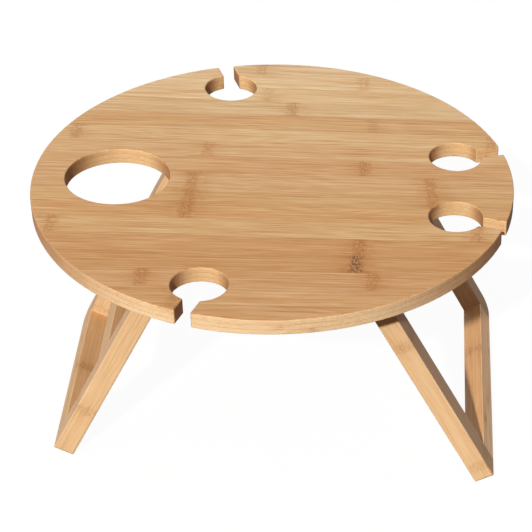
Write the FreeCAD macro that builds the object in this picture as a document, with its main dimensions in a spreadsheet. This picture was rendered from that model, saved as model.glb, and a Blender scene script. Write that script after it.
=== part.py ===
# Round folding picnic table: a slotted round top on two splayed leg frames.
# The wide frame stands at +X and the narrow one at -X.  The narrow frame pivots
# closer under the top, so that either leg can be folded on its own.
# Millimetres, +Z up, floor at Z = 0, top centred on the Z axis.
# Front is -Y, back is +Y; inner and outer are towards and away from the middle.
import FreeCAD, Part
import Sketcher
import math
import os

doc = FreeCAD.newDocument("FoldingPicnicTable")

# ---------------------------------------------------------------- dimensions
# "_up" lengths are measured along a leg frame from its outer foot edge.
DIMS = [
    # tabletop
    ("top_radius", 225.0), ("top_thick", 15.5), ("total_height", 250.0),
    ("top_edge_round", 1.0), ("slot_corner_round", 1.5),
    # holes in the top: distance from the centre, and angle from +X
    ("bottle_offset", 147.2), ("bottle_radius", 48.2),
    ("glass_radius", 25.4), ("slot_width", 14.6), ("slot_run", 60.0),
    ("pair_reach", 177.5), ("pair_angle", 17.46),
    ("side_reach", 181.6), ("side_angle", 107.9),
    # side slots: the line is the offset of the slot's centre line from the top's centre
    ("back_slot_angle", 110.5), ("back_slot_line", -15.0),
    ("front_slot_angle", -109.0), ("front_slot_line", 6.9),
    # both leg frames
    ("splay_angle", 27.2), ("foot_reach", 212.6),
    ("leg_thick", 19.6), ("leg_edge_round", 0.8), ("bar_width", 23.2),
    ("front_corner_round", 3.0), ("back_corner_round", 16.0),
    # each leg frame: half its overall width, its struts, and their ends above the pivot
    ("wide_half", 143.0), ("wide_strut_width", 25.5),
    ("wide_pivot_up", 203.6), ("wide_stub", 45.0), ("wide_stub_round", 4.0),
    ("narrow_half", 111.5), ("narrow_strut_width", 22.5),
    ("narrow_pivot_up", 231.6), ("narrow_stub", 21.0), ("narrow_stub_round", 5.0),
    ("cross_bar_up", 126.2), ("cross_bar_width", 25.0),
    # dowels: the low one is measured from the lower edge of its bar
    ("dowel_radius", 3.0), ("dowel_length", 31.0), ("dowel_depth", 16.0),
    ("dowel_low", 6.4), ("dowel_pitch", 10.4), ("dowel_ease", 0.02),
    # pivots
    ("insert_radius", 4.5), ("insert_length", 13.0), ("insert_bore_depth", 14.5),
    ("pivot_radius", 3.0), ("pivot_gap", 0.05), ("pivot_head_radius", 5.2),
    ("pivot_head_gap", 0.1), ("pivot_grip", 16.5),
    ("pivot_drive_length", 7.0), ("pivot_drive_width", 1.1), ("pivot_drive_depth", 1.1),
    ("washer_radius", 7.0), ("washer_thick", 1.0), ("side_gap", 0.05),
    # hinge brackets
    ("leaf_thick", 2.5), ("leaf_half", 9.0), ("leaf_end_flat_half", 0.5),
    ("flange_half", 14.0), ("flange_length", 27.0),
    ("bracket_screw_pitch", 16.0), ("bracket_screw_inset", 15.0),
    # wood screws and their pilot holes
    ("screw_radius", 1.75), ("screw_ease", 0.02), ("screw_bite", 9.0),
    ("screw_head_radius", 3.5), ("screw_head_high", 2.2),
    ("screw_drive_length", 4.4), ("screw_drive_width", 0.9), ("screw_drive_depth", 1.0),
    ("pilot_spare", 0.6),
    # stop blocks
    ("stop_gap", 0.15), ("stop_run", 30.0), ("stop_lift", 0.9),
    ("stop_screw_recess", 4.0), ("stop_recess_ease", 0.3),
    ("stop_screw_inset", 9.0), ("stop_screw_pitch", 12.0),
    # how far a cutting tool reaches past the face it leaves by
    ("cut_past", 1.0),
]
HEAD_TAPER = 0.8            # wood screw head: crown radius over seat radius
RIM_EDGE_MIN = 13.0         # rim edges shorter than this, as at pilot holes, are not picked


class Length:
    """A driven number: its spreadsheet expression and its present value."""

    def __init__(self, text, value):
        self.text = text
        self.value = value

    def __add__(self, other):
        return Length("(%s) + (%s)" % (self.text, other.text), self.value + other.value)

    def __sub__(self, other):
        return Length("(%s) - (%s)" % (self.text, other.text), self.value - other.value)

    def __mul__(self, other):
        return Length("(%s) * (%s)" % (self.text, other.text), self.value * other.value)

    def __truediv__(self, other):
        return Length("(%s) / (%s)" % (self.text, other.text), self.value / other.value)

    def __rmul__(self, factor):
        return Length("%r * (%s)" % (factor, self.text), factor * self.value)

    def __neg__(self):
        return Length("-(%s)" % self.text, -self.value)


class Dimensions:
    """The sheet's dimensions, one Length attribute for each alias."""


sheet = doc.addObject("Spreadsheet::Sheet", "Dims")
sheet.Label = "Dims"
for row, (alias, value) in enumerate(DIMS, start=1):
    sheet.set("A%d" % row, alias)
    sheet.set("B%d" % row, repr(value))
    sheet.setAlias("B%d" % row, alias)
doc.recompute()
dim = Dimensions()
for alias, _ in DIMS:
    setattr(dim, alias, Length("Dims." + alias, float(sheet.get(alias))))

ZERO = Length("0", 0.0)
splay = math.radians(dim.splay_angle.value)
SIN = Length("sin(Dims.splay_angle * 1deg)", math.sin(splay))
COS = Length("cos(Dims.splay_angle * 1deg)", math.cos(splay))
HALF_THICK = 0.5 * dim.leg_thick
FOOT_Z = dim.leg_thick * SIN                # height of a foot's outer edge
UNDER = dim.total_height - dim.top_thick    # height of the top's underside


# --------------------------------------------------------- placing and binding
UPRIGHT = ((0, 0, 1), 0.0)                  # a turn is an axis and an angle in degrees


def along_y(sign):
    """The turn that lays +Z along +Y (sign 1) or -Y (sign -1)."""
    return (-sign, 0, 0), 90.0


def signed(length, sign):
    return length if sign > 0 else -length


def place(obj, x=ZERO, y=ZERO, z=ZERO, turn=UPRIGHT):
    """Set a placement and bind its driven values to the sheet."""
    axis, angle = turn
    driven = isinstance(angle, Length)
    obj.Placement = FreeCAD.Placement(
        FreeCAD.Vector(x.value, y.value, z.value),
        FreeCAD.Rotation(FreeCAD.Vector(*axis), angle.value if driven else angle))
    for key, length in (("x", x), ("y", y), ("z", z)):
        if length is not ZERO:
            obj.setExpression("Placement.Base." + key, length.text)
    if driven:
        obj.setExpression("Placement.Rotation.Angle", "(%s) * 1deg" % angle.text)


def bind(obj, **lengths):
    for prop, length in lengths.items():
        obj.setExpression(prop, length.text)


# ------------------------------------------------------------------- sketches
def origin_plane(body, role):
    return next(o for o in body.Origin.OriginFeatures if o.Role == role)


def new_sketch(body, name, role):
    sketch = body.newObject("Sketcher::SketchObject", name)
    sketch.AttachmentSupport = [(origin_plane(body, role), "")]
    sketch.MapMode = "FlatFace"
    return sketch


def constrain(sketch, length, kind, *where):
    """Add a dimension to a sketch and bind it to the sheet."""
    index = sketch.addConstraint(Sketcher.Constraint(kind, *where, length.value))
    sketch.setExpression("Constraints[%d]" % index, length.text)


def fix_point(sketch, geo, pos, x, y):
    """Dimension one sketch point from the origin, both ways."""
    for kind, length, axis_geo in (("DistanceX", x, -2), ("DistanceY", y, -1)):
        if abs(length.value) < 1e-9:
            sketch.addConstraint(Sketcher.Constraint("PointOnObject", geo, pos, axis_geo))
        elif length.value > 0:
            constrain(sketch, length, kind, -1, 1, geo, pos)
        else:
            constrain(sketch, -length, kind, geo, pos, -1, 1)


def circles(body, name, items):
    """Sketch on the XY plane with one circle for each (x, y, radius)."""
    sketch = new_sketch(body, name, "XY_Plane")
    for x, y, radius in items:
        centre = FreeCAD.Vector(x.value, y.value, 0)
        circle = Part.Circle(centre, FreeCAD.Vector(0, 0, 1), radius.value)
        geo = sketch.addGeometry(circle, False)
        fix_point(sketch, geo, 3, x, y)
        constrain(sketch, radius, "Radius", geo)
    return sketch


def polygon(body, name, role, points):
    sketch = new_sketch(body, name, role)
    count = len(points)
    corners = [FreeCAD.Vector(x.value, y.value, 0) for x, y in points]
    for i in range(count):
        line = Part.LineSegment(corners[i], corners[(i + 1) % count])
        sketch.addGeometry(line, False)
    for i in range(count):
        sketch.addConstraint(Sketcher.Constraint("Coincident", i, 2, (i + 1) % count, 1))
    for i, (x, y) in enumerate(points):
        fix_point(sketch, i, 1, x, y)
    return sketch


def tilt(sketch, angle):
    """Turn a sketch about the Z axis."""
    sketch.AttachmentOffset = FreeCAD.Placement(
        FreeCAD.Vector(0, 0, 0), FreeCAD.Rotation(FreeCAD.Vector(0, 0, 1), angle.value))
    sketch.setExpression("AttachmentOffset.Rotation.Angle", "%s * 1deg" % angle.text)


# ------------------------------------------------------------- body operations
parts = []                  # every object that is exported under its Label


def new_body(label):
    body = doc.addObject("PartDesign::Body", label)
    body.Label = label
    parts.append(body)
    return body


def pad(body, sketch, length, name, midplane=False):
    """Pad a sketch; one on the XZ plane grows towards -Y."""
    feature = body.newObject("PartDesign::Pad", name)
    feature.Profile = sketch
    bind(feature, Length=length)
    if midplane:
        feature.Midplane = True
    doc.recompute()


def recompute_cut(body, feature, before):
    doc.recompute()
    if not body.Shape.Volume < before - 1e-3:
        raise RuntimeError("%s: %s removed nothing" % (body.Label, feature.Name))


def pocket(body, sketch, name, depth=None):
    """Pocket right through, or to a depth upwards from the sketch."""
    before = body.Shape.Volume
    feature = body.newObject("PartDesign::Pocket", name)
    feature.Profile = sketch
    if depth is None:
        feature.Type = "ThroughAll"
        feature.Midplane = True
    else:
        bind(feature, Length=depth)
        feature.Reversed = True
    recompute_cut(body, feature, before)
    return feature


def carve(body, kind, name, x, y, z, turn=UPRIGHT, **sizes):
    """Subtract a Box, Cylinder or Cone placed in the body's frame."""
    before = body.Shape.Volume
    feature = body.newObject("PartDesign::Subtractive" + kind, name)
    bind(feature, **sizes)
    place(feature, x, y, z, turn)
    recompute_cut(body, feature, before)


def drill(body, name, radius, depth, x, y, z, turn=UPRIGHT):
    carve(body, "Cylinder", name, x, y, z, turn, Radius=radius, Height=depth)


def round_edges(body, name, radius, test):
    """Fillet every edge of the tip that passes the test."""
    base = body.Tip
    names = ["Edge%d" % i for i, edge in enumerate(base.Shape.Edges, start=1) if test(edge)]
    if not names:
        raise RuntimeError("%s: no edges for %s" % (body.Label, name))
    feature = body.newObject("PartDesign::Fillet", name)
    feature.Base = (base, names)
    bind(feature, Radius=radius)
    doc.recompute()


def lies_at(edge, axis, value):
    box = edge.BoundBox
    ends = getattr(box, axis + "Min"), getattr(box, axis + "Max")
    return all(abs(end - value) < 1e-4 for end in ends)


def runs_along(edge, axis, at_least):
    box = edge.BoundBox
    sizes = {"X": box.XLength, "Y": box.YLength, "Z": box.ZLength}
    return sizes.pop(axis) > at_least and sum(sizes.values()) < 1e-4


# ----------------------------------------------------------------- leg lengths
class Leg:
    """One leg frame's lengths; x and y are distances from the table's middle."""

    def __init__(self, name, side):
        self.name = name
        self.side = side                                    # 1 at +X, -1 at -X
        self.half = getattr(dim, name + "_half")            # outer face of a strut
        self.strut_width = getattr(dim, name + "_strut_width")
        self.pivot_up = getattr(dim, name + "_pivot_up")
        self.stub = getattr(dim, name + "_stub")
        self.stub_round = getattr(dim, name + "_stub_round")
        self.pivot_x, self.pivot_z = self.centre_at(self.pivot_up)
        self.inner = self.half - self.strut_width           # inner face of a strut
        self.strut_mid = self.half - 0.5 * self.strut_width
        self.leaf_out = self.inner - dim.washer_thick - dim.side_gap
        self.leaf_in = self.leaf_out - dim.leaf_thick
        self.stop_bottom = self.pivot_z + HALF_THICK + dim.stop_lift
        self.stop_x_bottom = self.stop_face_x(self.stop_bottom)
        self.stop_x_top = self.stop_face_x(UNDER)
        self.stop_x_in = self.stop_x_top - dim.stop_run

    def centre_at(self, up):
        """Distance from the Z axis and height of the middle of the frame's thickness."""
        return (dim.foot_reach - up * SIN - HALF_THICK * COS,
                FOOT_Z + up * COS - HALF_THICK * SIN)

    def stop_face_x(self, z):
        """The strut's inner face, less the stop gap, at height z."""
        at_foot = dim.foot_reach - (dim.leg_thick + dim.stop_gap) / COS
        return at_foot - (z - FOOT_Z) * (SIN / COS)

    def on_side(self, length):
        """A distance outwards as an x of this leg's own sign."""
        return signed(length, self.side)

    def bracket_screw_spots(self):
        y = self.leaf_out - dim.bracket_screw_inset
        return [(self.on_side(self.pivot_x) + half_pitch, y) for half_pitch in
                (-0.5 * dim.bracket_screw_pitch, 0.5 * dim.bracket_screw_pitch)]

    def stop_screw_spots(self):
        first = self.stop_x_in + dim.stop_screw_inset
        return [(self.on_side(x), self.strut_mid) for x in (first, first + dim.stop_screw_pitch)]


WIDE = Leg("wide", 1)
NARROW = Leg("narrow", -1)
LEGS = (WIDE, NARROW)
CROSS_BAR_LOW = dim.cross_bar_up - dim.cross_bar_width
SIDES = (("front", -1), ("back", 1))        # name and sign of y


# ------------------------------------------------------------------- tabletop
def glass_hole(top, tag, reach, angle):
    sketch = circles(top, tag + "GlassOutline", [(reach, ZERO, dim.glass_radius)])
    tilt(sketch, angle)
    return pocket(top, sketch, tag + "GlassHole")


def slot(top, tag, reach, line, angle):
    """Slot from a glass hole out through the rim, its centre line offset by line."""
    low = line - 0.5 * dim.slot_width
    high = line + 0.5 * dim.slot_width
    far = reach + dim.slot_run
    sketch = polygon(top, tag + "SlotOutline", "XY_Plane",
                     [(reach, low), (far, low), (far, high), (reach, high)])
    tilt(sketch, angle)
    return pocket(top, sketch, tag + "Slot")


def tabletop():
    top = new_body("tabletop")
    place(top, z=UNDER)
    pad(top, circles(top, "TopOutline", [(ZERO, ZERO, dim.top_radius)]),
        dim.top_thick, "TopBoard")
    sketch = circles(top, "BottleOutline", [(-dim.bottle_offset, ZERO, dim.bottle_radius)])
    pocket(top, sketch, "BottleHole")

    mirrored = [
        glass_hole(top, "Pair", dim.pair_reach, dim.pair_angle),
        slot(top, "Pair", dim.pair_reach, ZERO, dim.pair_angle),
        glass_hole(top, "Side", dim.side_reach, dim.side_angle),
    ]
    # The two side slots differ, so they are not mirrored.
    slot(top, "Back", dim.side_reach, dim.back_slot_line, dim.back_slot_angle)
    slot(top, "Front", dim.side_reach, dim.front_slot_line, dim.front_slot_angle)

    pilots = [(x, y, dim.screw_radius) for leg in LEGS
              for x, y in leg.bracket_screw_spots() + leg.stop_screw_spots()]
    sketch = circles(top, "PilotOutline", pilots)
    mirrored.append(pocket(top, sketch, "PilotHoles", dim.screw_bite + dim.pilot_spare))

    mirror = top.newObject("PartDesign::Mirrored", "OtherSide")
    mirror.Originals = mirrored
    mirror.MirrorPlane = (origin_plane(top, "XZ_Plane"), [""])
    top.Tip = mirror
    doc.recompute()

    thick = dim.top_thick.value

    def slot_corner(edge):
        """Upright edge beside a flat slot wall, not the seam of a round hole."""
        if not runs_along(edge, "Z", thick - 1e-4):
            return False
        faces = top.Tip.Shape.ancestorsOfType(edge, Part.Face)
        return any(isinstance(face.Surface, Part.Plane) for face in faces)

    def rim(edge):
        flat = lies_at(edge, "Z", 0.0) or lies_at(edge, "Z", thick)
        return flat and edge.Length > RIM_EDGE_MIN

    # The upright corners are rounded first, so that the outline is one smooth
    # line and its edges can be eased all the way round.
    round_edges(top, "SlotCorners", dim.slot_corner_round, slot_corner)
    round_edges(top, "EasedEdges", dim.top_edge_round, rim)


# ------------------------------------------------------------------ leg frames
def place_in_leg(body, leg, y):
    """Lean a body with its leg: z runs up the frame, the outer foot edge is the
    origin, and the outer face looks along +x (wide) or -x (narrow)."""
    place(body, leg.on_side(dim.foot_reach), y, FOOT_Z, ((0, -leg.side, 0), dim.splay_angle))


def dowel_rows(low):
    """How far up the frame the two dowels of a bar lie."""
    first = low + dim.dowel_low
    return [first, first + dim.dowel_pitch]


def strut(leg, side_name, sign):
    body = new_body("%s_leg_%s_strut" % (leg.name, side_name))
    back = sign > 0
    place_in_leg(body, leg, leg.half if back else -leg.inner)
    top_end = leg.pivot_up + leg.stub
    inner_x = leg.on_side(-dim.leg_thick)
    sketch = polygon(body, "Side", "XZ_Plane",
                     [(ZERO, ZERO), (ZERO, top_end), (inner_x, top_end), (inner_x, ZERO)])
    pad(body, sketch, leg.strut_width, "Stick")
    outer_y = 0.0 if back else -leg.strut_width.value
    inner_y = -leg.strut_width if back else ZERO

    # bottom corner at the outside of the frame, then the top end
    round_edges(body, "Corner", dim.back_corner_round if back else dim.front_corner_round,
                lambda e: lies_at(e, "Z", 0.0) and lies_at(e, "Y", outer_y) and e.Length > 5)
    round_edges(body, "TopEnd", leg.stub_round,
                lambda e: lies_at(e, "Z", top_end.value) and runs_along(e, "Y", 5))

    # seat for the threaded insert, and the dowel holes
    mid_x = leg.on_side(-HALF_THICK)
    drill(body, "InsertSeat", dim.insert_radius, dim.insert_bore_depth,
          mid_x, inner_y, leg.pivot_up, along_y(sign))
    rows = dowel_rows(ZERO)
    if leg is NARROW:
        rows += dowel_rows(CROSS_BAR_LOW)
    for z in rows:
        drill(body, "DowelHole", dim.dowel_radius, dim.dowel_depth,
              mid_x, inner_y, z, along_y(sign))

    # long edges on the outside of the frame
    round_edges(body, "EasedEdges", dim.leg_edge_round,
                lambda e: lies_at(e, "Y", outer_y) and runs_along(e, "Z", 50))


def bar(leg, kind, low, width):
    """Bar between the struts of a frame, its lower edge at low."""
    body = new_body("%s_leg_%s_bar" % (leg.name, kind))
    place_in_leg(body, leg, leg.inner)
    inner_x = leg.on_side(-dim.leg_thick)
    high = low + width
    sketch = polygon(body, "Section", "XZ_Plane",
                     [(ZERO, low), (ZERO, high), (inner_x, high), (inner_x, low)])
    span = 2 * leg.inner
    pad(body, sketch, span, "Stick")
    for z in dowel_rows(low):
        for y, sign in ((ZERO, -1), (-span, 1)):
            drill(body, "DowelHole", dim.dowel_radius, dim.dowel_depth,
                  leg.on_side(-HALF_THICK), y, z, along_y(sign))
    round_edges(body, "EasedEdges", dim.leg_edge_round, lambda e: runs_along(e, "Y", 100))


# ---------------------------------------------------------- round loose pieces
def primitive(kind, name, **sizes):
    obj = doc.addObject("Part::" + kind, name)
    bind(obj, **sizes)
    return obj


def combine(kind, name, base, tool):
    """Boolean Cut or Fuse of two objects."""
    result = doc.addObject("Part::" + kind, name)
    result.Base = base
    result.Tool = tool
    return result


def group(label, pieces):
    """Several separate identical pieces kept as one part."""
    compound = doc.addObject("Part::Compound", label)
    compound.Label = label
    compound.Links = pieces
    parts.append(compound)


def dowels(leg, kind, low):
    label = "%s_leg_%s_dowels" % (leg.name, kind)
    pieces = []
    for row, up in enumerate(dowel_rows(low)):
        x, z = leg.centre_at(up)
        for index, sign in enumerate((1, -1)):
            dowel = primitive("Cylinder", "%s_%d%d" % (label, row, index),
                              Radius=dim.dowel_radius - dim.dowel_ease, Height=dim.dowel_length)
            y = leg.inner - 0.5 * dim.dowel_length
            place(dowel, leg.on_side(x), signed(y, sign), z, along_y(sign))
            pieces.append(dowel)
    group(label, pieces)


def ring(name, outer_radius, bore_radius, length):
    outer = primitive("Cylinder", name + "_outer", Radius=outer_radius, Height=length)
    bore = primitive("Cylinder", name + "_bore", Radius=bore_radius, Height=length)
    return combine("Cut", name, outer, bore)


def pivot_screw(leg, index):
    """Slotted countersunk screw, its head's flat face at the origin."""
    stem = leg.name + "_%s" + str(index)
    shank = primitive("Cylinder", stem % "shank", Radius=dim.pivot_radius, Height=dim.pivot_grip)
    head = primitive("Cone", stem % "head", Radius1=dim.pivot_head_radius,
                     Radius2=dim.pivot_radius, Height=dim.pivot_head_radius - dim.pivot_radius)
    drive = primitive("Box", stem % "drive", Length=dim.pivot_drive_length,
                      Width=dim.pivot_drive_width, Height=dim.pivot_drive_depth)
    place(drive, -0.5 * dim.pivot_drive_length, -0.5 * dim.pivot_drive_width)
    blank = combine("Fuse", stem % "screw_body", shank, head)
    return combine("Cut", stem % "screw", blank, drive)


def pivot_sets(leg):
    """Washer, threaded insert and screw of the back and the front pivot."""
    washers, inserts, screws = [], [], []
    for index, sign in enumerate((1, -1)):
        washer = ring("%s_washer%d" % (leg.name, index), dim.washer_radius,
                      dim.pivot_radius + dim.pivot_gap, dim.washer_thick)
        insert = ring("%s_insert%d" % (leg.name, index), dim.insert_radius - dim.dowel_ease,
                      dim.pivot_radius + dim.dowel_ease, dim.insert_length)
        screw = pivot_screw(leg, index)
        for piece, y, pieces in ((washer, leg.inner - dim.washer_thick, washers),
                                 (insert, leg.inner, inserts),
                                 (screw, leg.leaf_in, screws)):
            place(piece, leg.on_side(leg.pivot_x), signed(y, sign), leg.pivot_z, along_y(sign))
            pieces.append(piece)
    group(leg.name + "_leg_pivot_washers", washers)
    group(leg.name + "_leg_insert_nuts", inserts)
    group(leg.name + "_leg_pivot_screws", screws)


# -------------------------------------------------------------- hinge brackets
def bracket(leg, side_name, sign):
    """Steel angle: a flange under the top and a leaf beside the strut.
    The body's y runs outwards from the table's middle, z = 0 is the underside."""
    body = new_body("%s_leg_%s_bracket" % (leg.name, side_name))
    place(body, leg.on_side(leg.pivot_x), ZERO, UNDER,
          UPRIGHT if sign > 0 else ((0, 0, 1), 180.0))
    drop = leg.pivot_z - UNDER              # the pivot's z in the body
    leaf_end = drop - dim.leaf_half
    flange_in = leg.leaf_out - dim.flange_length
    sketch = polygon(body, "Angle", "YZ_Plane", [
        (flange_in, ZERO), (leg.leaf_out, ZERO),
        (leg.leaf_out, leaf_end), (leg.leaf_in, leaf_end),
        (leg.leaf_in, -dim.leaf_thick), (flange_in, -dim.leaf_thick)])
    pad(body, sketch, 2 * dim.flange_half, "AngleStock", midplane=True)

    # the leaf is narrower than the flange
    tool_y = leg.leaf_in - dim.cut_past
    through_leaf = dim.leaf_thick + 2 * dim.cut_past
    for name, x in (("NarrowLeafA", dim.leaf_half),
                    ("NarrowLeafB", -(dim.flange_half + dim.cut_past))):
        carve(body, "Box", name, x, tool_y, leaf_end - dim.leaf_thick,
              Length=dim.flange_half - dim.leaf_half + dim.cut_past,
              Width=through_leaf, Height=-leaf_end)
    round_edges(body, "LeafEnd", dim.leaf_half - dim.leaf_end_flat_half,
                lambda e: lies_at(e, "Z", leaf_end.value) and runs_along(e, "Y", 1.0))

    # pivot hole with its countersink on the inner side of the leaf
    hole_radius = dim.pivot_radius + dim.pivot_gap
    sink_radius = dim.pivot_head_radius + dim.pivot_head_gap
    drill(body, "PivotHole", hole_radius, through_leaf, ZERO, tool_y, drop, along_y(1))
    carve(body, "Cone", "Countersink", ZERO, leg.leaf_in, drop, along_y(1),
          Radius1=sink_radius, Radius2=hole_radius, Height=sink_radius - hole_radius)
    for x in (-0.5 * dim.bracket_screw_pitch, 0.5 * dim.bracket_screw_pitch):
        drill(body, "FlangeHole", dim.screw_radius, through_leaf,
              x, leg.leaf_out - dim.bracket_screw_inset, -(dim.leaf_thick + dim.cut_past))


# ----------------------------------------------------------------- stop blocks
def stop_block(leg, side_name, sign):
    """Wooden block whose sloped face holds the open leg at its splay."""
    body = new_body("%s_leg_%s_stop_block" % (leg.name, side_name))
    place(body, y=leg.half if sign > 0 else -leg.inner)
    bottom = leg.stop_bottom
    outline = [(leg.stop_x_in, bottom), (leg.stop_x_bottom, bottom),
               (leg.stop_x_top, UNDER), (leg.stop_x_in, UNDER)]
    sketch = polygon(body, "Wedge", "XZ_Plane", [(leg.on_side(x), z) for x, z in outline])
    pad(body, sketch, leg.strut_width, "Block")
    mid_y = -0.5 * leg.strut_width
    for x, _ in leg.stop_screw_spots():
        drill(body, "ScrewHole", dim.screw_radius, UNDER - bottom + dim.cut_past,
              x, mid_y, bottom)
        drill(body, "ScrewRecess", dim.screw_head_radius + dim.stop_recess_ease,
              dim.stop_screw_recess, x, mid_y, bottom)


# ----------------------------------------------------------------- wood screws
def wood_screw(name, x, y, seat, grip):
    """Slotted screw driven upwards; seat is the height of its head's upper face."""
    shank = primitive("Cylinder", name + "_shank", Radius=dim.screw_radius - dim.screw_ease,
                      Height=grip + dim.screw_bite)
    head = primitive("Cone", name + "_head", Radius1=HEAD_TAPER * dim.screw_head_radius,
                     Radius2=dim.screw_head_radius, Height=dim.screw_head_high)
    place(head, z=-dim.screw_head_high)
    blank = combine("Fuse", name + "_blank", shank, head)
    drive = primitive("Box", name + "_drive", Length=dim.screw_drive_length,
                      Width=dim.screw_drive_width, Height=dim.screw_drive_depth)
    place(drive, -0.5 * dim.screw_drive_length, -0.5 * dim.screw_drive_width,
          -dim.screw_head_high)
    screw = combine("Cut", name, blank, drive)
    place(screw, x, y, seat)
    return screw


def wood_screws(leg, kind, tag, spots, seat):
    """Screws at each spot and its mirror image, from the seat up into the top."""
    screws = []
    for spot, (x, y) in enumerate(spots):
        for index, sign in enumerate((1, -1)):
            name = "%s_%s%d%d" % (leg.name, tag, spot, index)
            screws.append(wood_screw(name, x, signed(y, sign), seat, UNDER - seat))
    group("%s_leg_%s_screws" % (leg.name, kind), screws)


# ------------------------------------------------------------------- the table
tabletop()
for leg in LEGS:
    for side_name, sign in SIDES:
        strut(leg, side_name, sign)
        bracket(leg, side_name, sign)
        stop_block(leg, side_name, sign)
    bar(leg, "floor", ZERO, dim.bar_width)
    dowels(leg, "corner", ZERO)
    pivot_sets(leg)
    wood_screws(leg, "bracket", "bs", leg.bracket_screw_spots(), UNDER - dim.leaf_thick)
    wood_screws(leg, "stop", "ss", leg.stop_screw_spots(),
                leg.stop_bottom + dim.stop_screw_recess)
bar(NARROW, "cross", CROSS_BAR_LOW, dim.cross_bar_width)
dowels(NARROW, "cross_bar", CROSS_BAR_LOW)
doc.recompute()

# --------------------------------------------------------------------- export
for obj in doc.Objects:
    bad = [word for word in obj.State if word in ("Invalid", "Error")]
    if bad:
        raise RuntimeError("%s (%s): %s" % (obj.Name, obj.Label, bad))

os.makedirs("parts", exist_ok=True)
for part in parts:
    shape = part.Shape
    if shape.isNull() or not shape.isValid() or not shape.Solids:
        raise RuntimeError("bad shape: " + part.Label)
    shape.exportStep("parts/%s.step" % part.Label)
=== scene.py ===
import math

import bpy
from mathutils import Matrix, Vector


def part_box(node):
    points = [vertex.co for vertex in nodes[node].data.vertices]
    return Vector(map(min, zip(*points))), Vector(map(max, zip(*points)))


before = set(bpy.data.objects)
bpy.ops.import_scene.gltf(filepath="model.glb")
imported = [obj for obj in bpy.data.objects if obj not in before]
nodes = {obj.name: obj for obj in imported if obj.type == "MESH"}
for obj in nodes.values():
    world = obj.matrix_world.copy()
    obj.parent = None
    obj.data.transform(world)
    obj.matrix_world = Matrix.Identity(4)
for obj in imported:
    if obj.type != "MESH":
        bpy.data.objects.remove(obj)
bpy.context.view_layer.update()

TOP_LO, TOP_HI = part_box("tabletop")
TOP_Z = TOP_HI.z
TOP_T = TOP_HI.z - TOP_LO.z
TOP_R = (TOP_HI.x - TOP_LO.x) / 2

# ------------------------------------------------------------------ node-graph helper


class V:
    """A scalar in a shader graph: arithmetic on it makes Math nodes."""

    def __init__(self, g, s):
        self.g, self.s = g, s

    def _o(self, op, b, swap=False, clamp=False):
        b = b.s if isinstance(b, V) else b
        a, b = (b, self.s) if swap else (self.s, b)
        return self.g.math(op, a, b, clamp=clamp)

    def __add__(self, b):
        return self._o("ADD", b)

    __radd__ = __add__

    def __sub__(self, b):
        return self._o("SUBTRACT", b)

    def __rsub__(self, b):
        return self._o("SUBTRACT", b, swap=True)

    def __mul__(self, b):
        return self._o("MULTIPLY", b)

    __rmul__ = __mul__

    def __truediv__(self, b):
        return self._o("DIVIDE", b)

    def floor(self):
        return self._o("FLOOR", 0.0)

    def fract(self):
        return self._o("FRACT", 0.0)

    def abs(self):
        return self._o("ABSOLUTE", 0.0)

    def sin(self):
        return self._o("SINE", 0.0)

    def gt(self, b):
        return self._o("GREATER_THAN", b)

    def lt(self, b):
        return self._o("LESS_THAN", b)

    def max(self, b):
        return self._o("MAXIMUM", b)

    def min(self, b):
        return self._o("MINIMUM", b)

    def clamp(self):
        return self._o("ADD", 0.0, clamp=True)

    def smooth(self, lo, hi):
        """0 at lo, 1 at hi, smooth between them (lo may be above hi)."""
        n = self.g.node("ShaderNodeMapRange", interpolation_type="SMOOTHSTEP")
        if lo < hi:
            vals = (lo, hi, 0.0, 1.0)
        else:
            vals = (hi, lo, 1.0, 0.0)
        self.g.put(n.inputs[0], self.s)
        for i, x in enumerate(vals):
            n.inputs[1 + i].default_value = x
        return V(self.g, n.outputs[0])


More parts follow.
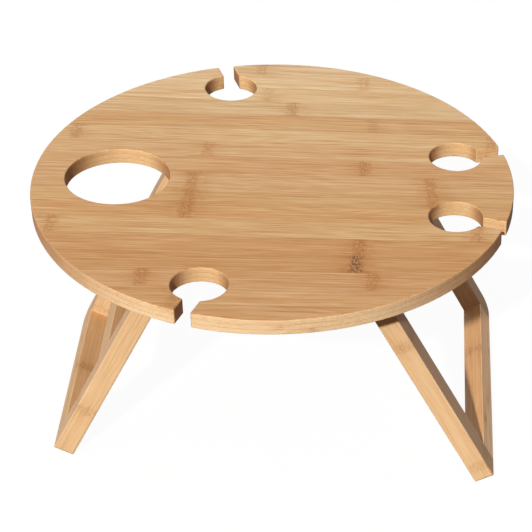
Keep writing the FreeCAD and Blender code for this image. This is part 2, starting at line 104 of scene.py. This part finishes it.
class Graph:
    def __init__(self, name):
        self.mat = bpy.data.materials.new(name)
        self.mat.use_nodes = True
        self.nt = self.mat.node_tree
        self.nt.nodes.clear()
        self.out = self.node("ShaderNodeOutputMaterial")
        self.tc = self.node("ShaderNodeTexCoord")
        self.P = self.tc.outputs["Object"]
        self.N = self.tc.outputs["Normal"]

    def node(self, kind, **props):
        n = self.nt.nodes.new(kind)
        for k, v in props.items():
            setattr(n, k, v)
        return n

    def put(self, socket, value):
        if isinstance(value, V):
            value = value.s
        if isinstance(value, bpy.types.NodeSocket):
            self.nt.links.new(value, socket)
        else:
            socket.default_value = value

    def math(self, op, a, b=0.0, clamp=False):
        n = self.node("ShaderNodeMath", operation=op, use_clamp=clamp)
        self.put(n.inputs[0], a)
        self.put(n.inputs[1], b)
        return V(self, n.outputs[0])

    def dot(self, vec, const):
        n = self.node("ShaderNodeVectorMath", operation="DOT_PRODUCT")
        self.put(n.inputs[0], vec)
        n.inputs[1].default_value = const
        return V(self, n.outputs["Value"])

    def vec(self, x, y, z):
        n = self.node("ShaderNodeCombineXYZ")
        for i, s in enumerate((x, y, z)):
            self.put(n.inputs[i], s)
        return n.outputs[0]

    def noise(self, vec, scale=1.0, detail=2.0, rough=0.5, distortion=0.0):
        n = self.node("ShaderNodeTexNoise", noise_dimensions="3D")
        self.put(n.inputs["Vector"], vec)
        n.inputs["Scale"].default_value = scale
        n.inputs["Detail"].default_value = detail
        n.inputs["Roughness"].default_value = rough
        n.inputs["Distortion"].default_value = distortion
        return V(self, n.outputs[0])

    def cells(self, vec, scale=1.0, randomness=1.0):
        n = self.node("ShaderNodeTexVoronoi", voronoi_dimensions="3D", feature="F1")
        self.put(n.inputs["Vector"], vec)
        n.inputs["Scale"].default_value = scale
        n.inputs["Randomness"].default_value = randomness
        return V(self, n.outputs["Distance"])

    def rand(self, w):
        """Three steady random numbers for an index."""
        n = self.node("ShaderNodeTexWhiteNoise", noise_dimensions="1D")
        self.put(n.inputs["W"], w)
        s = self.node("ShaderNodeSeparateColor")
        self.put(s.inputs[0], n.outputs["Color"])
        return [V(self, s.outputs[i]) for i in range(3)]

    def ramp(self, fac, stops):
        n = self.node("ShaderNodeValToRGB")
        e = n.color_ramp.elements
        while len(e) < len(stops):
            e.new(0.5)
        for i, (p, c) in enumerate(stops):
            e[i].position = p
            e[i].color = (*c, 1.0)
        self.put(n.inputs[0], fac)
        return n.outputs[0]

    def table(self, index, rows):
        """rows[index] as three numbers (each 0 to 1), index counting from 0."""
        n = self.node("ShaderNodeValToRGB")
        n.color_ramp.interpolation = "CONSTANT"
        e = n.color_ramp.elements
        while len(e) < len(rows):
            e.new(0.5)
        for i, c in enumerate(rows):
            e[i].position = i / len(rows)
            e[i].color = (*c, 1.0)
        self.put(n.inputs[0], (index + 0.5) * (1.0 / len(rows)))
        s = self.node("ShaderNodeSeparateColor")
        self.put(s.inputs[0], n.outputs[0])
        return [V(self, s.outputs[i]) for i in range(3)]

    def mix(self, fac, a, b, blend="MIX"):
        n = self.node("ShaderNodeMix", data_type="RGBA", blend_type=blend)
        self.put(n.inputs[0], fac)
        for s, c in ((n.inputs[6], a), (n.inputs[7], b)):
            if isinstance(c, tuple):
                s.default_value = (*c, 1.0)
            else:
                self.put(s, c)
        return n.outputs[2]

    def scale_rgb(self, col, k):
        n = self.node("ShaderNodeVectorMath", operation="SCALE")
        self.put(n.inputs[0], col)
        self.put(n.inputs["Scale"], k)
        return n.outputs[0]

    def mul_rgb(self, col, rgb):
        n = self.node("ShaderNodeVectorMath", operation="MULTIPLY")
        self.put(n.inputs[0], col)
        self.put(n.inputs[1], rgb)
        return n.outputs[0]

    def edge_mask(self, radius):
        """About 1 on a sharp or rounded edge, 0 on a flat face."""
        b = self.node("ShaderNodeBevel", samples=4)
        b.inputs["Radius"].default_value = radius
        geo = self.node("ShaderNodeNewGeometry")
        d = self.node("ShaderNodeVectorMath", operation="DOT_PRODUCT")
        self.put(d.inputs[0], b.outputs[0])
        self.put(d.inputs[1], geo.outputs["Normal"])
        return (1.0 - V(self, d.outputs["Value"])).smooth(0.01, 0.20)

    def finish(self, colour, rough, height=None, bump=0.3, depth=0.0002, **inputs):
        b = self.node("ShaderNodeBsdfPrincipled")
        self.put(b.inputs["Base Color"], colour)
        self.put(b.inputs["Roughness"], rough)
        for k, v in inputs.items():
            self.put(b.inputs[k.replace("_", " ")], v)
        if height is not None:
            n = self.node("ShaderNodeBump")
            n.inputs["Strength"].default_value = bump
            n.inputs["Distance"].default_value = depth
            self.put(n.inputs["Height"], height)
            self.put(b.inputs["Normal"], n.outputs[0])
        self.nt.links.new(b.outputs[0], self.out.inputs[0])
        return self.mat


# ------------------------------------------------------------------ bamboo
# u runs along the fibres, v across the glued strips and w through the plies, all in metres.

# Table surface: 27 mm strips counted from y = -0.204. Each row: first knuckle x, second knuckle x, how dark it is.
STRIP_W = 0.027
STRIP_0 = -0.204
KNUCKLES = [
    (-0.075, 9.0, 0.45),
    (-0.107, 0.095, 0.55),
    (0.080, 9.0, 1.00),
    (0.082, 9.0, 0.75),
    (-0.197, 0.189, 0.55),
    (-0.079, 9.0, 0.70),
    (-0.078, 0.148, 0.65),
    (-0.078, 0.145, 0.62),
    (0.082, 9.0, 0.60),
    (-0.068, 9.0, 0.42),
    (-0.196, 0.205, 0.50),
    (0.088, 9.0, 0.30),
    (0.008, 9.0, 0.55),
    (-0.019, 9.0, 0.30),
    (0.076, 9.0, 0.36),
    (-0.028, 9.0, 0.40),
    (0.060, 9.0, 0.30),
]
# Colour of each strip against the mean, red, green and blue: partly each strip's own tone, partly painted sheen
# that makes the strips toward the back, the last rows, lighter and bluer.
STRIP_TONES_AND_SHEEN = [
    (0.957, 0.965, 0.979),
    (0.938, 0.924, 0.930),
    (0.898, 0.853, 0.775),
    (0.928, 0.890, 0.844),
    (1.019, 1.129, 1.209),
    (0.980, 0.986, 0.958),
    (0.968, 1.024, 1.026),
    (1.000, 1.065, 1.151),
    (0.980, 1.005, 1.032),
    (1.010, 1.092, 1.171),
    (1.074, 1.253, 1.427),
    (0.980, 1.027, 1.033),
    (1.042, 1.231, 1.444),
    (1.132, 1.389, 1.696),
    (1.153, 1.420, 1.771),
    (1.118, 1.351, 1.708),
    (1.107, 1.327, 1.652),
]


def bamboo(
    name,
    U,
    Vv,
    W,
    strips,
    plies,
    stops,
    knuckles=None,
    tones_and_sheen=None,
    pitch=0.23,
    knuckle_at=None,
    seed=0.0,
    tone_spread=0.10,
    knuckle_dark=0.5,
    end_dark_and_shade=0.62,
    contrast=1.0,
    edge_wear_and_highlight_tint=1.10,
    rough=0.44,
    side_stops=None,
    v_tone=None,
    w_face_painted_light=None,
    end_tint_and_shade=(1.03, 0.96, 0.90),
):
    g = Graph(name)
    u, v, w = g.dot(g.P, U), g.dot(g.P, Vv), g.dot(g.P, W)
    nu, nw = g.dot(g.N, U).abs(), g.dot(g.N, W).abs()

    ply = ((w - plies[0]) * (1.0 / plies[1])).floor()
    if knuckles:
        # the other plies are laid in their own rhythm
        top = ply.gt(1.5)
        sv = (v - strips[0] + (1.0 - top) * (ply * 0.0083 + 0.0061)) * (1.0 / strips[1])
    else:
        top = None
        sv = (v - strips[0] + ply * (strips[1] * 0.37)) * (1.0 / strips[1])
    k = sv.floor()
    r1, r2, r3 = g.rand(k + ply * 31.0 + seed)

    # fibres: three widths of streak, each strip with its own piece of culm
    us, vs, ws = u + r2 * 7.0, v + r3 * 3.0, w + r1 * 3.0
    cloud = g.noise(g.vec(us * 7.0, vs * 40.0, ws * 40.0), detail=2.0)
    warp = (g.noise(g.vec(us * 7.0, vs * 16.0, ws * 16.0), detail=1.0) - 0.5) * 0.0028
    vw = vs + warp
    broad = g.noise(g.vec(us * 4.2, vw * 260.0, ws * 260.0), detail=3.0, rough=0.55)
    mid = g.noise(g.vec(us * 9.5, vw * 880.0, ws * 880.0), detail=2.0, rough=0.6)
    fine = g.noise(g.vec(us * 32.0, vw * 1900.0, ws * 1900.0), detail=2.0, rough=0.6)
    arc = g.noise(g.vec(us * 8.0, vs * 30.0, ws * 30.0), detail=0.0)
    arcs = ((vs * 95.0 + arc * 7.0) * 6.2832).sin() * g.noise(g.vec(us * 6.0, vs * 30.0, ws * 30.0), detail=0.0).smooth(0.42, 0.66)

    t = (
        0.5
        + (cloud - 0.5) * (0.42 * contrast)
        + (broad - 0.5) * (0.55 * contrast)
        + (mid - 0.5) * (1.60 * contrast)
        + (fine - 0.5) * (1.60 * contrast)
        + arcs * (0.065 * contrast)
        + (r1 - 0.5) * (tone_spread * 2.0)
    )
    streak = broad.smooth(0.60, 0.74) * mid.smooth(0.45, 0.62)
    t = t - streak * (0.09 * contrast)

    # knuckles
    wig = (g.noise(g.vec(us * 0.0 + k * 3.1, vs * 190.0, ws * 40.0), detail=2.0) - 0.5) * 0.0075
    if knuckles:
        x1, x2, dk = g.table(k, [((a + 0.25) / 10.0, (b + 0.25) / 10.0, c) for a, b, c in knuckles])
        d1 = (u - (x1 * 10.0 - 0.25)).abs().min((u - (x2 * 10.0 - 0.25)).abs())
        sgn = u - (x1 * 10.0 - 0.25)
        dr = ((u * (1.0 / 0.21) + r2).fract() - 0.5) * 0.21
        d = d1 * top + dr.abs() * (1.0 - top)
        dk = dk * top + (1.0 - top) * (0.35 + r3 * 0.4)
    elif knuckle_at is not None:
        d = None
        for x in knuckle_at:
            e = (u - x + (r2 - 0.5) * 0.006).abs()
            d = e if d is None else d.min(e)
        dk = 0.35 + r3 * 0.0 + (knuckle_dark - 0.35)
    else:
        d = (((u * (1.0 / pitch) + r2).fract() - 0.5) * pitch).abs()
        dk = knuckle_dark * (0.5 + r3 * 0.6)
    if not isinstance(dk, V):
        dk = r3 * 0.0 + dk
    dn = (d + wig).abs()
    core = dn.smooth(0.0082, 0.0020)
    halo = dn.smooth(0.026, 0.003)
    tick = g.noise(g.vec(us * 620.0, vs * 330.0, ws * 330.0), detail=2.0, rough=0.6)
    curl = g.noise(g.vec(us * 150.0, vs * 300.0, ws * 300.0), detail=2.0, rough=0.5, distortion=0.25)
    dark_tick = core * tick.smooth(0.46, 0.60) * dk
    light_tick = core * tick.smooth(0.44, 0.34) * dk
    swirl = halo * (curl - 0.5) * dk
    t = t + swirl * 0.85 - halo * dk * 0.26 - core * dk * 0.30

    nv = g.dot(g.N, Vv).abs()
    col = g.ramp(t.clamp(), stops)
    ink = g.mix(dk.smooth(0.80, 0.98), (0.390, 0.160, 0.048), (0.180, 0.092, 0.048))
    col = g.mix((dark_tick * 1.20).clamp(), col, ink)
    col = g.mix((light_tick * 0.35).clamp(), col, (0.74, 0.50, 0.28))
    # each strip's own tone, with painted sheen that is lighter and bluer on the strips toward the back
    if tones_and_sheen:
        c3 = g.table(k, [tuple(x / 2.0 for x in c) for c in tones_and_sheen])
        tv = g.vec(
            (c3[0] * 2.0) * top + (1.0 - top),
            (c3[1] * 2.0) * top + (1.0 - top),
            (c3[2] * 2.0) * top + (1.0 - top),
        )
        col = g.mul_rgb(col, tv)

    side = nw.smooth(0.75, 0.35)
    if side_stops:
        t2 = ((t - 0.5) * 0.5 + 0.5 + (ply - 1.0) * -0.04).clamp()
        wall = g.ramp(t2, side_stops)
        # the walls of the holes and slots are darker and browner than the outer rim: painted shade inside the
        # hollows
        outside = (u * u + v * v).smooth(0.2225**2, 0.2245**2)
        wall = g.mix(outside, g.mul_rgb(wall, (0.92, 0.89, 0.82)), g.mul_rgb(wall, (1.04, 1.10, 1.17)))
        col = g.mix(side, col, wall)
    if v_tone:
        col = g.mix(nv.smooth(0.6, 0.85), col, g.mul_rgb(col, v_tone))
    # faces turned along W, the broad sides of the leg pieces, get painted light here: a bluer painted sheen on the
    # struts and a much lighter colour on the wide leg's floor bar, painted light on a face that lies in shade
    if w_face_painted_light:
        col = g.mix(nw.smooth(0.6, 0.85), col, g.mul_rgb(col, w_face_painted_light))

    # glue lines between strips and plies
    sf = ((sv.fract() - 0.5).abs() - 0.5).abs() * strips[1]
    pf = ((((w - plies[0]) * (1.0 / plies[1])).fract() - 0.5).abs() - 0.5).abs() * plies[1]
    seam = sf.smooth(0.00035, 0.00010) * (1.0 - nw.smooth(0.5, 0.3)).clamp()
    seam = seam.max(pf.smooth(0.00035, 0.00010) * nw.smooth(0.6, 0.3))
    seam_noise = g.noise(g.vec(us * 40.0, k * 3.7, ply * 5.1), detail=1.0).smooth(0.35, 0.65)
    col = g.mix((seam * (0.25 + seam_noise * 0.35)).clamp(), col, (0.30, 0.15, 0.065))

    # end grain: pores where the fibres come out of the face, and a darker, warmer colour there that is partly the
    # end grain's own and partly painted shade on the left and right sides of the top's rim
    end = nu.smooth(0.40, 0.97)
    dots = g.cells(g.vec(u * 60.0, v * 1150.0, w * 1150.0))
    dots2 = g.cells(g.vec(u * 60.0, v * 560.0, w * 620.0))
    pore = dots.smooth(0.42, 0.18) * 0.55 + dots2.smooth(0.30, 0.10) * 0.45
    ecol = g.scale_rgb(g.mul_rgb(col, end_tint_and_shade), end_dark_and_shade + (cloud - 0.5) * 0.25 + 0.0)
    ecol = g.mix((pore * 0.75).clamp(), ecol, (0.20, 0.095, 0.042))
    col = g.mix(end, col, ecol)

    # edges: partly burnished wear and partly painted highlight, lighter where the edges would catch the light
    edge = g.edge_mask(0.0016)
    edge_breakup = g.noise(g.P, scale=85.0, detail=2.0, rough=0.5)
    wear_and_highlight = (edge * (0.55 + edge_breakup * 0.5)).clamp()
    col = g.mix(wear_and_highlight * 0.24, col, g.scale_rgb(g.mul_rgb(col, (1.04, 1.03, 1.0)), edge_wear_and_highlight_tint * 1.12))

    rgh = rough + (fine - 0.5) * 0.16 + (cloud - 0.5) * 0.08 + end * 0.14 + dark_tick * 0.10 - wear_and_highlight * 0.06
    height = fine * 0.5 + mid * 0.45 + broad * 0.2 - seam * 1.2 - pore * end * 1.6 - dark_tick * 0.9
    return g.finish(
        col,
        rgh,
        height,
        bump=0.35,
        depth=0.00022,
        IOR=1.38,
        Coat_Weight=0.10,
        Coat_Roughness=0.30,
        Coat_IOR=1.45,
    )


HONEY = [
    (0.00, (0.430, 0.180, 0.052)),
    (0.28, (0.515, 0.255, 0.094)),
    (0.50, (0.565, 0.308, 0.130)),
    (0.72, (0.616, 0.368, 0.174)),
    (1.00, (0.690, 0.455, 0.245)),
]
PALE = [
    (0.00, (0.460, 0.245, 0.100)),
    (0.28, (0.665, 0.410, 0.200)),
    (0.50, (0.765, 0.505, 0.270)),
    (0.72, (0.815, 0.565, 0.320)),
    (1.00, (0.870, 0.650, 0.400)),
]

SPLAY = math.radians(27.2)
CS, SN = math.cos(SPLAY), math.sin(SPLAY)
LEG = {
    "wide_leg": ((SN, 0.0, -CS), (CS, 0.0, SN)),
    "narrow_leg": ((-SN, 0.0, -CS), (-CS, 0.0, SN)),
}
Y = (0.0, 1.0, 0.0)
X = (1.0, 0.0, 0.0)
Z = (0.0, 0.0, 1.0)


def dress(names, mat):
    for n in names:
        o = nodes[n]
        o.data.materials.clear()
        o.data.materials.append(mat)


top_mat = bamboo(
    "bamboo_top",
    X,
    Y,
    Z,
    strips=(STRIP_0, STRIP_W),
    plies=(TOP_LO.z, TOP_T / 3),
    stops=HONEY,
    knuckles=KNUCKLES,
    tones_and_sheen=STRIP_TONES_AND_SHEEN,
    tone_spread=0.02,
    # the darker, warmer end-grain colour here also paints the shade on the left and right sides of the rim
    end_dark_and_shade=0.60,
    end_tint_and_shade=(1.08, 0.83, 0.70),
    side_stops=PALE,
)
dress(["tabletop"], top_mat)

KNOTS = {
    ("wide_leg", "front_strut"): (-0.0891, 0.071),
    ("wide_leg", "back_strut"): (-0.020, 0.110),
    ("narrow_leg", "front_strut"): (0.0330, -0.121),
    ("narrow_leg", "back_strut"): (0.0614, -0.095),
}
seed = 3.0
for leg, (A, NRM) in LEG.items():
    for part in ("front_strut", "back_strut"):
        lo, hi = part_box(f"{leg}_{part}")
        wide = hi.y - lo.y
        m = bamboo(
            f"bamboo_{leg}_{part}",
            A,
            Y,
            NRM,
            strips=(lo.y, wide / 4.0),
            plies=(sum(NRM[i] * (hi if NRM[i] > 0 else lo)[i] for i in range(3)) - 0.0400, 0.0800),
            stops=PALE,
            knuckle_at=KNOTS[(leg, part)],
            knuckle_dark=0.24,
            seed=seed,
            tone_spread=0.045,
            contrast=0.50,
            end_dark_and_shade=0.74,
            # the struts' broad sides are painted bluer, a painted sheen
            w_face_painted_light=(0.98, 0.98, 1.10),
        )
        seed += 17.0
        dress([f"{leg}_{part}"], m)
    bars = [f"{leg}_floor_bar"] + (["narrow_leg_cross_bar"] if leg == "narrow_leg" else [])
    for b in bars:
        lo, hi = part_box(b)
        m = bamboo(
            f"bamboo_{b}",
            Y,
            A,
            NRM,
            strips=(-0.5, 0.0064),
            plies=(-0.3, 0.6),
            stops=PALE,
            knuckle_dark=0.45,
            pitch=0.26,
            seed=seed,
            tone_spread=0.06,
            contrast=0.62,
            end_dark_and_shade=0.74,
            v_tone=(0.88, 0.74, 0.61),
            # the wide leg's floor bar gets much lighter broad sides, painted light on faces that lie in shade
            w_face_painted_light=(1.75, 1.80, 1.95) if leg == "wide_leg" else (0.96, 0.96, 0.96),
        )
        seed += 17.0
        dress([b], m)

block = bamboo(
    "bamboo_block",
    X,
    Y,
    Z,
    strips=(-0.5, 0.0085),
    plies=(-0.3, 0.0061),
    stops=HONEY,
    knuckle_dark=0.5,
    pitch=0.19,
    seed=201.0,
    tone_spread=0.12,
    end_dark_and_shade=0.66,
)
dress([f"{l}_{s}_stop_block" for l in LEG for s in ("front", "back")], block)


def dowel(name):
    """Close-grained turned hardwood, its ring pattern showing on the ends."""
    g = Graph(name)
    u, x, z = g.dot(g.P, Y), g.dot(g.P, X), g.dot(g.P, Z)
    grain = g.noise(g.vec(x * 900.0, u * 35.0, z * 900.0), detail=3.0, rough=0.6)
    cloud = g.noise(g.P, scale=90.0, detail=2.0)
    rings = ((x * 5200.0 + cloud * 9.0).sin() * 0.5 + 0.5) * g.dot(g.N, Y).abs().smooth(0.6, 0.95)
    t = 0.5 + (grain - 0.5) * 0.9 + (cloud - 0.5) * 0.5 - rings * 0.22
    col = g.ramp(t.clamp(), [(0.0, (0.34, 0.19, 0.09)), (0.5, (0.60, 0.41, 0.23)), (1.0, (0.76, 0.58, 0.38))])
    return g.finish(col, 0.52 + (grain - 0.5) * 0.2, grain + rings * 0.6, bump=0.3, depth=0.00015)


dress(["wide_leg_corner_dowels", "narrow_leg_corner_dowels", "narrow_leg_cross_bar_dowels"], dowel("dowel_wood"))


def steel(name, base, rough, brush, along, dirt=0.5):
    """Plated steel: brushed or tumbled, dulled in patches, brighter where it is handled."""
    g = Graph(name)
    a, b, c = g.dot(g.P, along), g.dot(g.P, Z), g.dot(g.P, X)
    y = g.dot(g.P, Y)
    line = g.noise(g.vec(a * 60.0, (b + y * 0.37) * brush, c * brush), detail=2.0, rough=0.6)
    haze = g.noise(g.P, scale=130.0, detail=3.0, rough=0.6)
    spots = g.noise(g.P, scale=900.0, detail=2.0, rough=0.6).smooth(0.62, 0.74)
    edge = g.edge_mask(0.0006)
    col = g.ramp((0.5 + (haze - 0.5) * 0.9 + (line - 0.5) * 0.35).clamp(), [(0.0, tuple(x * 0.62 for x in base)), (0.5, base), (1.0, tuple(min(1.0, x * 1.18) for x in base))])
    col = g.mix(spots * (0.35 * dirt), col, (0.16, 0.14, 0.12))
    col = g.mix(edge * 0.5, col, (0.80, 0.79, 0.77))
    rgh = rough + (haze - 0.5) * 0.28 + (line - 0.5) * 0.20 + spots * 0.2 - edge * 0.08
    return g.finish(col, rgh, line * 0.6 + haze * 0.4 - spots * 0.8, bump=0.22, depth=0.00008, Metallic=1.0)


bracket = steel("bracket_steel", (0.56, 0.55, 0.53), 0.38, 2600.0, Z)
dress([f"{l}_{s}_bracket" for l in LEG for s in ("front", "back")], bracket)
zinc = steel("fastener_zinc", (0.60, 0.59, 0.55), 0.32, 1500.0, Y, dirt=0.9)
dress(
    [
        f"{l}_{p}"
        for l in LEG
        for p in ("pivot_washers", "pivot_screws", "bracket_screws", "stop_screws")
    ],
    zinc,
)
brass = steel("insert_brass", (0.58, 0.44, 0.22), 0.36, 1900.0, Y, dirt=0.8)
dress([f"{l}_insert_nuts" for l in LEG], brass)

# ------------------------------------------------------------------ floor, light, camera


def floor():
    mesh = bpy.data.meshes.new("floor")
    n, r = 96, 12.0
    ring = [(r * math.cos(2 * math.pi * i / n), r * math.sin(2 * math.pi * i / n), 0.0) for i in range(n)]
    mesh.from_pydata(ring, [], [tuple(range(n))])
    mesh.update()
    o = bpy.data.objects.new("floor", mesh)
    bpy.context.scene.collection.objects.link(o)
    g = Graph("floor_white")
    path = g.node("ShaderNodeLightPath")
    diff = g.node("ShaderNodeBsdfDiffuse")
    cloud = g.noise(g.P, scale=1.5, detail=2.0)
    g.put(diff.inputs[0], g.mix(cloud, (0.100, 0.054, 0.032), (0.110, 0.061, 0.037)))
    seen = g.node("ShaderNodeBsdfDiffuse")
    g.put(seen.inputs[0], (0.80, 0.80, 0.80, 1.0))
    glow = g.node("ShaderNodeEmission")
    glow.inputs[0].default_value = (1.0, 1.0, 1.0, 1.0)
    glow.inputs[1].default_value = 1.01
    m1 = g.node("ShaderNodeMixShader")
    m1.inputs[0].default_value = 0.05
    g.nt.links.new(glow.outputs[0], m1.inputs[1])
    g.nt.links.new(seen.outputs[0], m1.inputs[2])
    sheen = g.node("ShaderNodeEmission")
    sheen.inputs[0].default_value = (1.0, 0.87, 0.74, 1.0)
    sheen.inputs[1].default_value = 0.38
    m3 = g.node("ShaderNodeMixShader")
    g.nt.links.new(path.outputs["Is Glossy Ray"], m3.inputs[0])
    g.nt.links.new(diff.outputs[0], m3.inputs[1])
    g.nt.links.new(sheen.outputs[0], m3.inputs[2])
    m2 = g.node("ShaderNodeMixShader")
    g.nt.links.new(path.outputs["Is Camera Ray"], m2.inputs[0])
    g.nt.links.new(m3.outputs[0], m2.inputs[1])
    g.nt.links.new(m1.outputs[0], m2.inputs[2])
    # from underneath the floor lets the camera through
    below = g.node("ShaderNodeMath")
    below.operation = "MULTIPLY"
    g.nt.links.new(g.node("ShaderNodeNewGeometry").outputs["Backfacing"], below.inputs[0])
    g.nt.links.new(path.outputs["Is Camera Ray"], below.inputs[1])
    m4 = g.node("ShaderNodeMixShader")
    g.nt.links.new(below.outputs[0], m4.inputs[0])
    g.nt.links.new(m2.outputs[0], m4.inputs[1])
    g.nt.links.new(g.node("ShaderNodeBsdfTransparent").outputs[0], m4.inputs[2])
    g.nt.links.new(m4.outputs[0], g.out.inputs[0])
    o.data.materials.append(g.mat)


floor()

world = bpy.data.worlds.new("studio")
bpy.context.scene.world = world
world.use_nodes = True
wt = world.node_tree
wt.nodes.clear()


def wnode(kind, **props):
    n = wt.nodes.new(kind)
    for k, v in props.items():
        setattr(n, k, v)
    return n


w_out = wnode("ShaderNodeOutputWorld")
w_path = wnode("ShaderNodeLightPath")
w_dir = wnode("ShaderNodeTexCoord")
w_xyz = wnode("ShaderNodeSeparateXYZ")
wt.links.new(w_dir.outputs["Generated"], w_xyz.inputs[0])


def wstep(axis, lo, hi):
    n = wnode("ShaderNodeMapRange", interpolation_type="SMOOTHSTEP")
    wt.links.new(w_xyz.outputs[axis], n.inputs[0])
    a, b, c, d = (lo, hi, 0.0, 1.0) if lo < hi else (hi, lo, 1.0, 0.0)
    for i, x in enumerate((a, b, c, d)):
        n.inputs[1 + i].default_value = x
    return n.outputs[0]


def wmix(fac, a, b):
    n = wnode("ShaderNodeMix", data_type="RGBA")
    wt.links.new(fac, n.inputs[0])
    for s, c in ((n.inputs[6], a), (n.inputs[7], b)):
        if isinstance(c, tuple):
            s.default_value = (*c, 1.0)
        else:
            wt.links.new(c, s)
    return n.outputs[2]


# a big pale ceiling over warm, darker walls; what shines is the ceiling and the lit wall behind the table
w_amb = wnode("ShaderNodeBackground")
wt.links.new(wmix(wstep(2, 0.35, 0.95), (0.048, 0.015, 0.006), (0.62, 0.61, 0.60)), w_amb.inputs[0])
w_gls = wnode("ShaderNodeBackground")
w_back = wnode("ShaderNodeMath", operation="MULTIPLY")
wt.links.new(wstep(1, 0.45, 0.90), w_back.inputs[0])
wt.links.new(wstep(2, 0.66, 0.30), w_back.inputs[1])
wt.links.new(wmix(w_back.outputs[0], (0.085, 0.055, 0.040), (1.50, 1.48, 1.45)), w_gls.inputs[0])
w_cam = wnode("ShaderNodeBackground")
w_cam.inputs[0].default_value = (1.0, 1.0, 1.0, 1.0)
w_cam.inputs[1].default_value = 1.0
w_m1 = wnode("ShaderNodeMixShader")
w_m2 = wnode("ShaderNodeMixShader")
wt.links.new(w_path.outputs["Is Glossy Ray"], w_m1.inputs[0])
wt.links.new(w_amb.outputs[0], w_m1.inputs[1])
wt.links.new(w_gls.outputs[0], w_m1.inputs[2])
wt.links.new(w_path.outputs["Is Camera Ray"], w_m2.inputs[0])
wt.links.new(w_m1.outputs[0], w_m2.inputs[1])
wt.links.new(w_cam.outputs[0], w_m2.inputs[2])
wt.links.new(w_m2.outputs[0], w_out.inputs[0])


def aim(obj, direction):
    obj.rotation_mode = "QUATERNION"
    obj.rotation_quaternion = Vector(direction).normalized().to_track_quat("-Z", "Y")


def sun(name, direction, strength, angle, colour=(1.0, 1.0, 1.0)):
    l = bpy.data.lights.new(name, "SUN")
    l.energy = strength
    l.angle = math.radians(angle)
    l.color = colour
    o = bpy.data.objects.new(name, l)
    bpy.context.scene.collection.objects.link(o)
    aim(o, direction)
    return o


def softbox(name, place, target, size, power, colour=(1.0, 1.0, 1.0)):
    l = bpy.data.lights.new(name, "AREA")
    l.shape = "RECTANGLE"
    l.size, l.size_y = size
    l.energy = power
    l.color = colour
    o = bpy.data.objects.new(name, l)
    bpy.context.scene.collection.objects.link(o)
    o.location = place
    aim(o, Vector(target) - Vector(place))
    return o


sun("key", (0.186, 0.78, -0.597), 3.65, 2.0, (1.0, 0.985, 0.955))
softbox("fill_left", (-2.0, -1.0, 0.95), (0.0, 0.0, 0.15), (1.0, 1.0), 11.5, (1.0, 0.99, 0.98))

cam_data = bpy.data.cameras.new("camera")
cam_data.sensor_fit = "HORIZONTAL"
cam_data.sensor_width = 36.0
cam_data.lens = 136.4838
cam_data.clip_start, cam_data.clip_end = 0.05, 60.0
cam = bpy.data.objects.new("camera", cam_data)
bpy.context.scene.collection.objects.link(cam)
right = Vector((0.9950585, -0.0646784, 0.0753351))
up = Vector((-0.0181563, 0.6274122, 0.7784756))
back = Vector((-0.0976167, -0.7759966, 0.6231375))
m = Matrix((right, up, back)).transposed().to_4x4()
m.translation = Vector((0.134355, -1.64568, 1.284438))
cam.matrix_world = m
bpy.context.scene.camera = cam

# The picture is an off-centre part of a wider view, so the lens is shifted. The shift belongs to this
# standpoint only: it fades to nothing as the camera leaves the marker, and other views are centred.
home = bpy.data.objects.new("camera_home", None)
home.location = m.translation
bpy.context.scene.collection.objects.link(home)
for channel, amount in (("shift_x", -0.650778), ("shift_y", 0.295752)):
    curve = cam_data.driver_add(channel)
    for mod in list(curve.modifiers):
        curve.modifiers.remove(mod)
    curve.driver.type = "SUM"
    var = curve.driver.variables.new()
    var.type = "LOC_DIFF"
    var.targets[0].id = cam
    var.targets[1].id = home
    for x, y in ((0.0, amount), (0.01, amount), (0.05, 0.0), (1.0, 0.0)):
        curve.keyframe_points.insert(x, y)
    for key in curve.keyframe_points:
        key.interpolation = "LINEAR"
    curve.extrapolation = "CONSTANT"

view = bpy.context.scene.view_settings
view.view_transform = "Standard"
view.look = "None"
view.exposure = 0.0
view.gamma = 1.0

bpy.context.view_layer.update()
